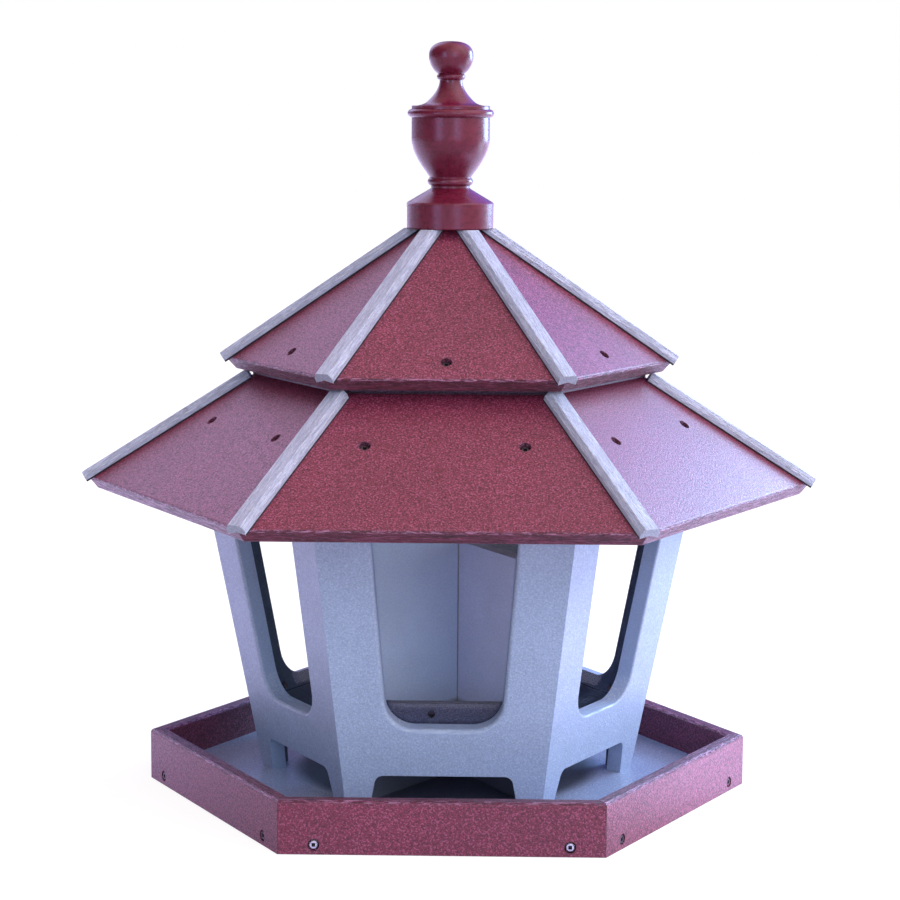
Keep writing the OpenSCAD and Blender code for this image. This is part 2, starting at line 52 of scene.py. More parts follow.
# the window lies this near a panel's middle, between these heights above its foot, and its outer edges
# this near the panel's face
WINDOW_HALF = 60 * MM
WINDOW_FOOT = 60 * MM
WINDOW_HEAD = 255 * MM
FACE_NEAR = 0.4 * MM
# in square metres: no strip of a rounded arris is larger, and no facet of a screw hole's wall is
STRIP_AREA = 4e-4
HOLE_WALL_AREA = 4e-5
# painted shade in the crevice at a batten's sides starts this deep below its top
CREVICE_DEPTH = 7.1 * MM
CREVICE_FADE = 0.5 * MM
# the divider's foot is darkened with painted shade below this height
LEAF_FOOT = 77 * MM
LEAF_FADE = 6 * MM
# the dark line at the divider's seam reaches this far, and is full this near
SEAM_EDGE = 1.4 * MM
SEAM_CORE = 0.6 * MM
# painted shade lies on the tray out to here, round its middle, and fades
SHADE_REACH = 113 * MM
SHADE_END = 135 * MM
# how much thinner a pane is shown
HAIR_GAP = 0.15 * MM
# a screw's square drive: its faces' middles and their corners lie this near the axis
DRIVE_MIDDLE = 1.6 * MM
DRIVE_CORNER = 2.1 * MM
# screws farther out than this to the left or right are in the side rails
SIDE_RAIL_FROM = 125 * MM
# the cleat's hole lies this near the middle
CLEAT_HOLE_HALF = 20 * MM
FLOOR_DROP = 0.4 * MM
FLOOR_SIZE = 12

# Limits on directions, as the cosine of the angle between two of them
FACING = 0.93
SQUARE = 0.97
BACK = 0.9
# Turns in degrees: within a flat face, within a smooth surface, and at the sharp edges of a board, of a
# window and of a batten
FLAT_TURN = 0.4
SMOOTH_TURN = 32
SHARP_TURN = 30
WINDOW_TURN = 50
BATTEN_TURN = 20
MERGE_DISTANCE = 0.002 * MM
# each board's grain is shifted by up to this, in metres
GRAIN_SHIFT = 9
# How much of a batten reads as moulded face, and how much painted shade a rail gets inside
BATTEN_SKIN = 0.25
RAIL_SHADE = 0.4

# First seed of each kind of board; the boards of a kind count on from it
SEEDS = {"rail": 10, "panel": 20, "lower": 30, "upper": 40, "lower_batten": 50, "upper_batten": 56}
FLOOR_SEED = 70
CLEAT_SEED = 71
LEFT_LEAF_SEED = 72
RIGHT_LEAF_SEED = 73
BLOCK_SEED = 74
RING_SEED = 75

# Noise in the boards, in cells per metre, and how much longer than wide the torn marks are
GRANULES = 480
FINE_GRANULES = 860
FLECKS = 740
CLOUDS = 16
STREAKS = 60
STREAK_LENGTH = 16.0
HAIRS = 170
HAIR_LENGTH = 20.0
FLAKES = 170
FLAKE_LENGTH = 8.0
DASHES = 130
DASH_LENGTH = 7.0
# Height of the pebbled skin, of torn streaks and of torn flakes
PEBBLE_HEIGHT = 0.24 * MM
STREAK_HEIGHT = 1.6 * MM
FLAKE_HEIGHT = 0.7 * MM


# Node helpers
class Tree:
    """A small builder for the shader nodes of a material or a world."""

    def __init__(self, owner, output):
        owner.use_nodes = True
        self.owner = owner
        self.nt = owner.node_tree
        self.nt.nodes.clear()
        self.out = self.add(output)

    def put(self, socket, value):
        if isinstance(value, bpy.types.NodeSocket):
            self.nt.links.new(value, socket)
        else:
            socket.default_value = value

    def add(self, kind, props=None, **inputs):
        """A node, with inputs by name or, as i0, i1 and so on, by number."""
        node = self.nt.nodes.new("ShaderNode" + kind)
        for key, value in (props or {}).items():
            setattr(node, key, value)
        for key, value in inputs.items():
            by_number = key[0] == "i" and key[1:].isdigit()
            self.put(node.inputs[int(key[1:]) if by_number else key.replace("_", " ")], value)
        return node

    def surface(self, shader):
        self.put(self.out.inputs["Surface"], shader.outputs[0])

    def math(self, op, a, b, clamp=False):
        return self.add("Math", {"operation": op, "use_clamp": clamp}, i0=a, i1=b).outputs[0]

    def times(self, a, b):
        return self.math("MULTIPLY", a, b)

    def blend(self, a, a_share, b, b_share):
        """The sum of two values, each times its share."""
        return self.math("ADD", self.times(a, a_share), self.times(b, b_share))

    def vector(self, op, a, b=(0, 0, 0)):
        return self.add("VectorMath", {"operation": op}, i0=a, i1=b)

    def mix(self, fac, a, b, blend="MIX"):
        return self.add("Mix", {"data_type": "RGBA", "blend_type": blend}, i0=fac, i6=a, i7=b).outputs[2]

    def noise(self, vector, scale, detail=2.0, rough=0.5, distortion=0.0):
        return self.add("TexNoise", None, Vector=vector, Scale=scale, Detail=detail, Roughness=rough,
                        Distortion=distortion).outputs["Fac"]

    def ramp(self, value, low, high, to_low=0.0, to_high=1.0):
        """From to_low at low to to_high at high, smooth between."""
        return self.add("MapRange", {"interpolation_type": "SMOOTHSTEP"},
                        i0=value, i1=low, i2=high, i3=to_low, i4=to_high).outputs[0]

    def spread(self, value, low, high, to_low, to_high):
        """As ramp, and straight between."""
        return self.add("MapRange", None, i0=value, i1=low, i2=high, i3=to_low, i4=to_high).outputs[0]

    def scaled(self, vector, x, y, z):
        return self.vector("MULTIPLY", vector, (x, y, z)).outputs[0]

    def place(self):
        """Where a point is on its piece, which is its place in the frame at rest."""
        return self.add("TexCoord").outputs["Object"]

    def attribute(self, name, output="Fac"):
        return self.add("Attribute", {"attribute_name": name}).outputs[output]


def material_tree(name):
    return Tree(bpy.data.materials.new(name), "OutputMaterial")


def rgb(r, g, b):
    """A colour given in a picture's 0 to 255 numbers, as linear light."""
    def linear(v):
        v /= 255
        return v / 12.92 if v <= 0.04045 else ((v + 0.055) / 1.055) ** 2.4
    return (linear(r), linear(g), linear(b), 1.0)


# a near-black grey painted as shade on inner faces, hole walls, the tray's middle and a divider's foot
PAINTED_SHADE_COLOUR = rgb(30, 26, 34)
SEAM_SHADE = rgb(40, 34, 60)
# painted shade in the crevices under the battens
CREVICE_SHADE = rgb(26, 4, 10)


# Materials
def board_face(t, at, dark, mid, light):
    """A moulded face: its colour in granules, its tone and the height of its pebbles."""
    granule = t.noise(at, GRANULES, 2.5, 0.6)
    fine = t.ramp(t.noise(at, FINE_GRANULES, 1.0, 0.5), 0.36, 0.62)
    fleck = t.ramp(t.noise(at, FLECKS, 1.0, 0.5), 0.53, 0.65)
    tone = t.blend(t.ramp(granule, 0.40, 0.60), 0.5, fine, 0.5)
    colour = t.mix(t.times(fleck, 0.8), t.mix(tone, dark, mid), light)
    return colour, tone, t.blend(granule, 0.55, fine, 0.45)


def board_cut(t, at, dark, mid, fray_and_highlight, streak, cut):
    """A sawn edge: its colour in streaks that follow the cut, its tone and its torn flakes."""
    streaks = t.noise(t.scaled(at, 1.0, STREAK_LENGTH, STREAK_LENGTH), STREAKS, 4.0, 0.65, 0.4)
    hairs = t.noise(t.scaled(at, 1.0, HAIR_LENGTH, HAIR_LENGTH), HAIRS, 2.0, 0.6)
    tone = t.blend(streaks, 0.62, hairs, 0.38)
    colour = t.mix(t.ramp(tone, 0.40, 0.58), dark, mid)
    # cut darkens the sawn edges: painted shade, as the eaves' edges face down
    colour = t.mix(1.0, colour, (cut, cut, cut, 1), "MULTIPLY")
    colour = t.mix(t.times(t.ramp(tone, 0.53, 0.66), streak * 0.4), colour, fray_and_highlight)
    flakes = t.noise(t.scaled(at, 1.0, FLAKE_LENGTH, FLAKE_LENGTH), FLAKES, 3.0, 0.7, 0.6)
    flakes = t.ramp(flakes, 0.56, 0.63)
    colour = t.mix(t.times(flakes, streak * 0.5), colour, fray_and_highlight)
    return colour, tone, flakes


def tray_painted_shade(t):
    """Painted shade round the tray's middle."""
    from_middle = t.vector("LENGTH", t.scaled(t.place(), 1.0, 1.0, 0.0)).outputs["Value"]
    return t.math("SUBTRACT", 1.0, t.ramp(from_middle, SHADE_REACH, SHADE_END))


def board_material(name, palette, rough, streak=0.5, grit=1.0, cut=1.0, torn=1.0, shaded_middle=False, seam=None,
                   ridge=False):
    """Recycled plastic board: granules and a pebbled skin on its faces, streaks along its sawn edges.

    The palette is dark, mid, light and frayed; the frayed colour also paints a highlight on arrises.
    streak, grit and torn set how strong the torn marks' colour, the pebbles and the torn marks' height are,
    and cut how dark the sawn edges are painted, as shade. The tray's flag paints shade round its middle,
    seam is for a divider leaf, with painted shade at its foot, and ridge for a batten, with painted shade in
    its crevices.
    """
    t = material_tree(name)
    dark, mid, light, fray_and_highlight = (rgb(*colour) for colour in palette)
    at = t.attribute("grain", "Vector")
    skin = t.attribute("skin")
    arris = t.attribute("arris")
    face, tone, pebble = board_face(t, at, dark, mid, light)
    sawn, sawn_tone, flakes = board_cut(t, at, dark, mid, fray_and_highlight, streak, cut)
    colour = t.mix(skin, sawn, face)
    # arrises are painted paler in broken dashes, a painted highlight along the edges
    dash = t.ramp(t.noise(t.scaled(at, 1.0, DASH_LENGTH, DASH_LENGTH), DASHES, 3.0, 0.65, 0.5), 0.49, 0.60)
    colour = t.mix(t.times(t.times(arris, dash), streak), colour, fray_and_highlight)
    # painted shade: faces are darkened toward the near-black grey where they sit in shadow
    painted_shade = tray_painted_shade(t) if shaded_middle else t.attribute("painted_shade")
    if seam is not None:
        # painted shade over the divider's foot
        height = t.add("SeparateXYZ", None, Vector=t.place()).outputs["Z"]
        painted_shade = t.math("MAXIMUM", painted_shade, t.ramp(height, LEAF_FOOT, LEAF_FOOT - LEAF_FADE))
    colour = t.mix(t.times(painted_shade, 0.8), colour, PAINTED_SHADE_COLOUR)
    if seam is not None:
        plan = t.scaled(t.place(), 1.0, 1.0, 0.0)
        away = t.vector("DISTANCE", plan, (seam.x, seam.y, 0)).outputs["Value"]
        colour = t.mix(t.times(t.ramp(away, SEAM_EDGE, SEAM_CORE), 0.6), colour, SEAM_SHADE)
    if ridge:
        # painted shade in the crevice under a batten's sides
        crevice = t.ramp(t.attribute("depth"), CREVICE_DEPTH, CREVICE_DEPTH + CREVICE_FADE)
        colour = t.mix(t.times(crevice, 0.97), colour, CREVICE_SHADE)
        painted_shade = t.math("MAXIMUM", painted_shade, crevice)
    # slow clouds of shade over the whole board
    shade = t.spread(t.noise(at, CLOUDS, 2.0, 0.5), 0.3, 0.7, 0.93, 1.06)
    grey = t.add("CombineColor", None, i0=shade, i1=shade, i2=shade).outputs[0]
    colour = t.mix(1.0, colour, grey, "MULTIPLY")
    skin_height = t.times(t.times(pebble, PEBBLE_HEIGHT * grit), skin)
    torn_height = t.blend(sawn_tone, STREAK_HEIGHT * torn, flakes, FLAKE_HEIGHT * torn)
    height = t.math("ADD", skin_height, t.times(torn_height, t.math("SUBTRACT", 1.0, skin)))
    bump = t.add("Bump", None, Strength=1.0, Distance=1.0, Height=height)
    rough_face = t.spread(tone, 0.2, 0.8, rough + 0.05, rough - 0.05)
    rough_sawn = t.spread(sawn_tone, 0.45, 0.64, rough + 0.12, rough - 0.2)
    roughness = t.add("Mix", {"data_type": "FLOAT"}, i0=skin, i2=rough_sawn, i3=rough_face).outputs[0]
    roughness = t.math("SUBTRACT", roughness, t.times(arris, 0.18), clamp=True)
    roughness = t.math("ADD", roughness, t.times(painted_shade, 0.5), clamp=True)
    p = t.add("BsdfPrincipled", None, Base_Color=colour, Roughness=roughness, Normal=bump.outputs[0])
    p.inputs["IOR"].default_value = 1.5
    p.inputs["Specular IOR Level"].default_value = 0.6
    t.surface(p)
    return t.owner


def turned_material(name):
    """The finial: satin lacquer over a turned blank, with faint turning rings."""
    t = material_tree(name)
    at = t.place()
    rings = t.noise(t.scaled(at, 2.0, 2.0, 160.0), 9, 3.0, 0.6)
    mottle = t.noise(at, 260, 3.0, 0.6)
    cloud = t.noise(at, 28, 2.0, 0.5)
    colour = t.mix(t.ramp(mottle, 0.35, 0.68), rgb(98, 20, 42), rgb(116, 27, 53))
    colour = t.mix(t.times(t.ramp(rings, 0.45, 0.65), 0.3), colour, rgb(78, 16, 40))
    colour = t.mix(t.times(t.ramp(cloud, 0.4, 0.65), 0.15), colour, rgb(122, 34, 64))
    height = t.blend(rings, 0.06 * MM, mottle, 0.04 * MM)
    bump = t.add("Bump", None, Strength=1.0, Distance=1.0, Height=height)
    rough = t.spread(mottle, 0.3, 0.7, 0.25, 0.32)
    p = t.add("BsdfPrincipled", None, Base_Color=colour, Roughness=rough, Normal=bump.outputs[0])
    p.inputs["IOR"].default_value = 1.45
    t.surface(p)
    return t.owner


def pane_material(name, ior):
    """Clear acrylic sheet with faint wipe marks; lamps shine through it."""
    t = material_tree(name)
    smear = t.noise(t.scaled(t.place(), 1.0, 1.0, 0.35), 30, 4.0, 0.6, 1.2)
    p = t.add("BsdfPrincipled", None, Roughness=t.spread(smear, 0.35, 0.75, 0.0, 0.03))
    p.inputs["Base Color"].default_value = (1.0, 1.0, 1.0, 1.0)
    p.inputs["IOR"].default_value = ior
    p.inputs["Transmission Weight"].default_value = 1.0
    clear = t.add("BsdfTransparent")
    clear.inputs["Color"].default_value = (0.98, 0.99, 1.0, 1.0)
    path = t.add("LightPath")
    passing = t.math("MAXIMUM", path.outputs["Is Shadow Ray"], path.outputs["Is Diffuse Ray"])
    t.surface(t.add("MixShader", None, i0=passing, i1=p.outputs[0], i2=clear.outputs[0]))
    return t.owner


def recess_material(name):
    """The square drive in a screw head, painted dark as the shade in its recess."""
    t = material_tree(name)
    shade_mottle = t.noise(t.place(), 900, 3.0, 0.6)
    colour = t.mix(t.ramp(shade_mottle, 0.35, 0.65), rgb(16, 15, 20), rgb(34, 32, 40))
    p = t.add("BsdfPrincipled", None, Base_Color=colour)
    p.inputs["Roughness"].default_value = 0.7
    t.surface(p)
    return t.owner


def steel_material(name, pale, deep, rough_low, rough_high):
    """Plated steel with fine scuffs."""
    t = material_tree(name)
    at = t.place()
    scuff = t.noise(at, 1400, 3.0, 0.6)
    patch = t.noise(at, 220, 2.0, 0.5)
    colour = t.mix(t.ramp(patch, 0.35, 0.7), rgb(*pale), rgb(*deep))
    rough = t.spread(scuff, 0.3, 0.7, rough_low, rough_high)
    bump = t.add("Bump", None, Strength=1.0, Distance=1.0, Height=t.times(scuff, 0.02 * MM))
    p = t.add("BsdfPrincipled", None, Base_Color=colour, Roughness=rough, Normal=bump.outputs[0])
    p.inputs["Metallic"].default_value = 1.0
    t.surface(p)
    return t.owner


RED = board_material("red_board", [(66, 10, 27), (135, 40, 70), (166, 83, 113), (216, 150, 190)],
                     rough=0.45, streak=0.6, cut=0.8)
GREY = board_material("grey_board", [(156, 172, 203), (173, 190, 222), (188, 206, 230), (227, 236, 240)],
                      rough=0.5, streak=0.35, grit=0.7, torn=0.2)
BATTEN = board_material("grey_batten", [(160, 165, 189), (206, 213, 237), (229, 234, 247), (250, 251, 254)],
                        rough=0.5, streak=1.0, grit=0.8, ridge=True)
TRAY = board_material("grey_tray", [(140, 150, 177), (162, 173, 202), (180, 192, 214), (208, 218, 232)],
                      rough=0.22, grit=0.2, shaded_middle=True)
RING = board_material("shaded_grey", [(94, 79, 99), (115, 100, 122), (137, 124, 145), (166, 156, 175)],
                      rough=0.55)
STRIP = board_material("dark_strip", [(46, 48, 74), (64, 68, 100), (84, 88, 122), (100, 104, 136)],
                       rough=0.5)
TURNED = turned_material("turned_red")
PANE = pane_material("clear_pane", ior=1.3)
# the side panes show no mirror images
SIDE_PANE = pane_material("clear_side_pane", ior=1.06)
STEEL = steel_material("bright_steel", pale=(206, 206, 214), deep=(160, 160, 170),
                       rough_low=0.2, rough_high=0.4)
DRIVE = recess_material("screw_drive")
# rougher steel painted dark and reddish: painted shade and the painted reflection of the red boards round it
SHADED_STEEL = steel_material("shaded_steel", pale=(104, 92, 98), deep=(70, 58, 64),
                      rough_low=0.4, rough_high=0.6)


# Geometry helpers
def clean_bmesh(node):
    """The CAD node's own surface with its flat faces joined up."""
    bm = bmesh.new()
    bm.from_mesh(nodes[node].data)
    bmesh.ops.remove_doubles(bm, verts=bm.verts, dist=MERGE_DISTANCE)
    bmesh.ops.dissolve_limit(bm, angle_limit=math.radians(FLAT_TURN), verts=bm.verts, edges=bm.edges)
    bm.normal_update()
    return bm


def main_normal(bm, wanted):
    """The normal of the largest flat face that the test accepts."""
    sums = {}
    for f in bm.faces:
        n = f.normal
        key = (round(n.x, 2), round(n.y, 2), round(n.z, 2))
        if wanted(n):
            area, total = sums.get(key, (0.0, Vector()))
            sums[key] = (area + f.calc_area(), total + n * f.calc_area())
    return max(sums.values(), key=lambda s: s[0])[1].normalized()


def axes_of(w, along=None):
    """A board's axes: along it, across it and out of its face w."""
    u = along if along is not None else Vector((0, 0, 1)).cross(w)
    if u.length < 1e-3:
        u = Vector((1, 0, 0))
    u = (u - w * u.dot(w)).normalized()
    return u, w.cross(u), w


def bevel_edges(bm, edges, width, segments):
    edges = [e for e in edges if e.is_valid]
    if edges:
        bmesh.ops.bevel(bm, geom=edges, offset=width, offset_type="OFFSET", segments=segments, profile=0.5,
                        affect="EDGES", clamp_overlap=True, loop_slide=True, miter_outer="SHARP")


def sharp(bm, least=SHARP_TURN):
    """The edges that turn by more than this many degrees."""
    limit = math.radians(least)
    return [e for e in bm.edges if len(e.link_faces) == 2 and e.calc_face_angle(0) > limit]


def write_grain(bm, axes_at, seed):
    """Writes what the board material reads: place along the board, moulded face or cut, and arris."""
    rng = random.Random(seed)
    shift = Vector([rng.uniform(0, GRAIN_SHIFT) for _ in range(3)])
    grain = bm.loops.layers.float_vector.new("grain")
    skin = bm.faces.layers.float.new("skin")
    arris = bm.faces.layers.float.new("arris")
    for f in bm.faces:
        u, v, w = axes_at(f)
        n = f.normal
        on_face = abs(n.dot(w)) > FACING
        square = max(abs(n.dot(w)), abs(n.dot(v)), abs(n.dot(u))) > SQUARE
        f[skin] = 1.0 if on_face else 0.0
        f[arris] = 0.0 if (on_face or square or f.calc_area() > STRIP_AREA) else 1.0
        for loop in f.loops:
            p = loop.vert.co
            loop[grain] = Vector((p.dot(u), p.dot(v), p.dot(w))) + shift
        f.smooth = True


def radial(k):
    """Straight out from side k, counted from the front toward the right."""
    a = math.radians(60 * k)
    return Vector((math.sin(a), -math.cos(a), 0))


def piece(node, bm, material, body):
    """Makes the visible piece that stands in for a CAD node."""
    mesh = bpy.data.meshes.new("shown_" + node)
    bm.to_mesh(mesh)
    bm.free()
    mesh.set_sharp_from_angle(angle=math.radians(SMOOTH_TURN))
    obj = bpy.data.objects.new("shown_" + node, mesh)
    bpy.context.scene.collection.objects.link(obj)
    mesh.materials.append(material)
    weighted = obj.modifiers.new("even_light", "WEIGHTED_NORMAL")
    weighted.keep_sharp = True
    weighted.weight = 80
    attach(obj, body)
    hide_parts(node)


def board(node, body, material, wanted, seed, arris=BOARD_ARRIS, soften=None, shade_of=None):
    """A flat board: wanted picks its face, soften rounds some edges more, and the last argument gives each
    face its painted shade.
    """
    bm = clean_bmesh(node)
    axes = axes_of(main_normal(bm, wanted))
    # each face's painted shade
    if shade_of:
        painted_shade = bm.faces.layers.float.new("painted_shade")
        for f in bm.faces:
            f[painted_shade] = shade_of(f, axes[2])
    if soften:
        soften(bm, axes)
    bevel_edges(bm, sharp(bm), arris, 2)
    bm.normal_update()
    bm.faces.index_update()
    write_grain(bm, lambda f: axes, seed)
    piece(node, bm, material, body)


# Tray rails
# painted shade on a rail's inner face
def rail_painted_shade(f, w):
    return RAIL_SHADE if f.normal.dot(w) < -BACK else 0.0


def rail(k, side):
    out = radial(k)
    board("rail_" + side, "base", RED, lambda n: n.dot(out) > 0.9, SEEDS["rail"] + k,
          shade_of=rail_painted_shade)


# Hopper panels
def soften_window(bm, axes):
    """Rounds the outer edges of the window more than the rest, as a router left them."""
    u, v, w = axes
    face = max(x.co.dot(w) for x in bm.verts)
    foot = min(x.co.dot(v) for x in bm.verts)
    picked = []
    for e in sharp(bm, WINDOW_TURN):
        mid = (e.verts[0].co + e.verts[1].co) / 2
        in_window = abs(mid.dot(u)) < WINDOW_HALF and WINDOW_FOOT < mid.dot(v) - foot < WINDOW_HEAD
        if in_window and mid.dot(w) > face - FACE_NEAR:
            picked.append(e)
    bevel_edges(bm, picked, WINDOW_ROUND, 6)


# painted shade on a panel's inner faces
def panel_painted_shade(f, w):
    return 1.0 if f.normal.dot(w) < -BACK else 0.0


def hopper_panel(k, side):
    out = radial(k)
    board("panel_" + side, "base", GREY, lambda n: n.dot(out) > 0.5, SEEDS["panel"] + k,
          arris=PANEL_ARRIS, soften=soften_window, shade_of=panel_painted_shade)


# Roof panels
def roof_panel(k, side, tier, body):
    out = radial(k)
    board(tier + "_" + side, body, RED, lambda n: n.dot(out) > 0.3 and n.z > 0.3,
          SEEDS[tier] + k)


# Ridge battens
def batten(k, corner, tier, body):
    """A batten along the hip of corner k, rough all over, with painted shade under its sides."""
    node = tier + "_batten_" + corner
    a = math.radians(60 * k)
    out = Vector((math.cos(a), math.sin(a), 0))
    bm = clean_bmesh(node)
    w = main_normal(bm, lambda n: n.z > 0.3)
    axes = axes_of(w, (out - w * out.dot(w)).normalized())
    bevel_edges(bm, sharp(bm, BATTEN_TURN), BATTEN_ARRIS, 2)
    bm.normal_update()
    write_grain(bm, lambda f: axes, SEEDS[tier + "_batten"] + k)
    skin = bm.faces.layers.float["skin"]
    depth = bm.loops.layers.float.new("depth")
    top = max(x.co.dot(w) for x in bm.verts)
    for f in bm.faces:
        f[skin] = BATTEN_SKIN
        beside = abs(f.normal.dot(out)) < 0.5
        for loop in f.loops:
            loop[depth] = top - loop.vert.co.dot(w) if beside else 0.0
    piece(node, bm, BATTEN, body)


# Divider leaves
def front_plane(node):
    """The normal and the offset of a divider leaf's face toward the front window."""
    bm = clean_bmesh(node)
    n = main_normal(bm, lambda m: m.y < -0.3 and abs(m.z) < 0.3)
    reach = max(x.co.dot(n) for x in bm.verts)
    bm.free()
    return n, reach


def divider_seam():
    """Where the two leaves' front faces meet, in plan."""
    (a, p), (b, q) = front_plane("divider_left"), front_plane("divider_right")
    return Matrix(((a.x, a.y), (b.x, b.y))).inverted() @ Vector((p, q))


def divider():
    seam = divider_seam()
    # both leaves are grey board painted paler than the panels, as painted light inside the window; the right
    # leaf is a painted shaded copy, a little darker and more purple
    left = board_material("grey_divider",
                          [(196, 216, 250), (207, 227, 255), (214, 232, 255), (230, 240, 255)],
                          rough=0.5, grit=0.3, seam=seam)
    right = board_material("grey_divider_shaded",
                           [(206, 208, 240), (218, 218, 252), (224, 224, 255), (236, 236, 255)],
                           rough=0.5, grit=0.3, seam=seam)
    board("divider_left", "base", left, lambda n: abs(n.z) < 0.3, LEFT_LEAF_SEED)
    board("divider_right", "base", right, lambda n: abs(n.z) < 0.3, RIGHT_LEAF_SEED)


# Pane cleat
def cleat_painted_shade(f, w):
    """Painted shade on the wall of the hole in the cleat's middle."""
    in_wall = abs(f.normal.dot(w)) < BACK and abs(f.calc_center_median().x) < CLEAT_HOLE_HALF
    return 1.0 if in_wall and f.calc_area() < HOLE_WALL_AREA else 0.0


# Lid ring
def ring_axes(f):
    """The axes of the side of the ring that a face lies on."""
    c = f.calc_center_median()
    return axes_of(radial(round(math.degrees(math.atan2(c.x, -c.y)) / 60)))


def lid_ring():
    bm = clean_bmesh("lid_ring")
    bevel_edges(bm, sharp(bm), RING_ARRIS, 2)
    bm.normal_update()
    write_grain(bm, ring_axes, RING_SEED)
    piece("lid_ring", bm, RING, "lid")


for k, side in enumerate(SIDES):
    rail(k, side)
    hopper_panel(k, side)
    roof_panel(k, side, "lower", "base")
    roof_panel(k, side, "upper", "lid")
for k, corner in enumerate(CORNERS):
    batten(k, corner, "lower", "base")
    batten(k, corner, "upper", "lid")
board("tray_floor", "base", TRAY, lambda n: n.z > 0.9, FLOOR_SEED)
board("pane_cleat", "base", STRIP, lambda n: n.y < -0.5, CLEAT_SEED, shade_of=cleat_painted_shade)
divider()
board("apex_block", "lid", GREY, lambda n: n.z > 0.9, BLOCK_SEED)
lid_ring()


# Panes, fasteners and finial, which are the CAD nodes themselves
def loose_parts(mesh):
    """The polygons of each separate solid in a mesh."""
    parent = list(range(len(mesh.vertices)))

    def root(i):
        while parent[i] != i:
            parent[i] = parent[parent[i]]
            i = parent[i]
        return i

    places = {}
    for vert in mesh.vertices:
        key = tuple(round(c * 1e6) for c in vert.co)
        if key in places:
            parent[root(vert.index)] = root(places[key])
        places[key] = vert.index
    for poly in mesh.polygons:
        first = root(poly.vertices[0])
        for i in poly.vertices[1:]:
            parent[root(i)] = first
    parts = {}
    for poly in mesh.polygons:
        parts.setdefault(root(poly.vertices[0]), []).append(poly)
    return list(parts.values())


def long_axis(points, middle):
    """The way that a screw's points are drawn out."""
    far = max(points, key=lambda q: (q - middle).length)
    axis = (far - middle).normalized()
    for _ in range(12):
        axis = sum(((q - middle) * (q - middle).dot(axis) for q in points), Vector()).normalized()
    return axis


def off_axis(point, middle, axis):
    off = point - middle
    return (off - axis * off.dot(axis)).length


def paint_screws(mesh, name):
    """Square drives painted dark as shade, and the screws on the side rails and in the panes duller and
    painted darker, as painted shade and reflection.
    """
    for polys in loose_parts(mesh):
        ids = sorted({i for poly in polys for i in poly.vertices})
        points = [mesh.vertices[i].co for i in ids]
        middle = sum(points, Vector()) / len(points)
        axis = long_axis(points, middle)
        side_rail = name == "rail_screws" and abs(middle.x) > SIDE_RAIL_FROM
        for poly in polys:
            corner = max(off_axis(mesh.vertices[i].co, middle, axis) for i in poly.vertices)
            if off_axis(poly.center, middle, axis) < DRIVE_MIDDLE and corner < DRIVE_CORNER:
                poly.material_index = 1
            elif side_rail or name == "pane_screws":
                poly.material_index = 2


def own_material(name):
    """The material of a CAD node that is shown as it is, or None."""
    # the roof screws are all in the darkened steel, as painted shade in their holes
    if name in ("lower_screws", "upper_screws"):
        return SHADED_STEEL
    if name.endswith("screws") or name in ("finial_rod", "finial_nut"):
        return STEEL
    if name == "finial":
        return TURNED
    if name.startswith("pane_") and name != "pane_cleat":
        return PANE if name == "pane_front" else SIDE_PANE
    return None


def dress_node(name, obj, material):
    obj.data.materials.clear()
    obj.data.materials.append(material)
    for poly in obj.data.polygons:
        poly.material_index = 0
    if material in (PANE, SIDE_PANE):
        # so that its face and the board's behind it aren't one and the same
        thin = obj.modifiers.new("hair_gap", "DISPLACE")
        thin.mid_level = 0.0
        thin.strength = -HAIR_GAP
    if name.endswith("screws"):
        obj.data.materials.append(DRIVE)
        obj.data.materials.append(SHADED_STEEL)
        paint_screws(obj.data, name)


for name, obj in nodes.items():
    material = own_material(name)
    if material:
        dress_node(name, obj, material)


# Floor
def floor_material():
    """Near white to the camera, plain grey to diffuse light, and lavender in glossy boards."""
    t = material_tree("studio_floor")
    path = t.add("LightPath")
    lit = t.add("BsdfDiffuse")
    lit.inputs["Color"].default_value = (0.3, 0.3, 0.3, 1)
    glow = t.add("Emission")
    glow.inputs["Color"].default_value = (1, 1, 1, 1)
    glow.inputs["Strength"].default_value = 0.86
    seen = t.add("AddShader", None, i0=lit.outputs[0], i1=glow.outputs[0])
    real = t.add("BsdfDiffuse")
    real.inputs["Color"].default_value = (0.6, 0.6, 0.6, 1)
    mirrored = t.add("Emission")
    mirrored.inputs["Color"].default_value = (0.62, 0.56, 1.0, 1)
    ground = t.add("NewGeometry").outputs["Position"]
    # brighter toward the rear, and in a pool beside the feeder's right
    rear = t.ramp(t.add("SeparateXYZ", None, i0=ground).outputs["Y"], -0.4, 0.3, 0.25, 1.3)
    pool = t.ramp(t.vector("DISTANCE", ground, (0.44, -0.08, 0)).outputs["Value"], 0.3, 0.08, 0.0, 2.4)
    t.put(mirrored.inputs["Strength"], t.times(t.math("ADD", rear, pool), 1.95))
    glossy = t.add("AddShader", None, i0=real.outputs[0], i1=mirrored.outputs[0])
    direct = t.math("MAXIMUM", path.outputs["Is Camera Ray"], path.outputs["Is Transmission Ray"])
    dull = t.add("MixShader", None, i0=path.outputs["Is Glossy Ray"], i1=real.outputs[0],
                 i2=glossy.outputs[0])
    t.surface(t.add("MixShader", None, i0=direct, i1=dull.outputs[0], i2=seen.outputs[0]))
    return t.owner


bm = bmesh.new()
bmesh.ops.create_grid(bm, x_segments=8, y_segments=8, size=FLOOR_SIZE)
mesh = bpy.data.meshes.new("studio_floor")
bm.to_mesh(mesh)
bm.free()
floor = bpy.data.objects.new("studio_floor", mesh)
bpy.context.scene.collection.objects.link(floor)
mesh.materials.append(floor_material())
floor.location = (0, 0, -FLOOR_DROP)

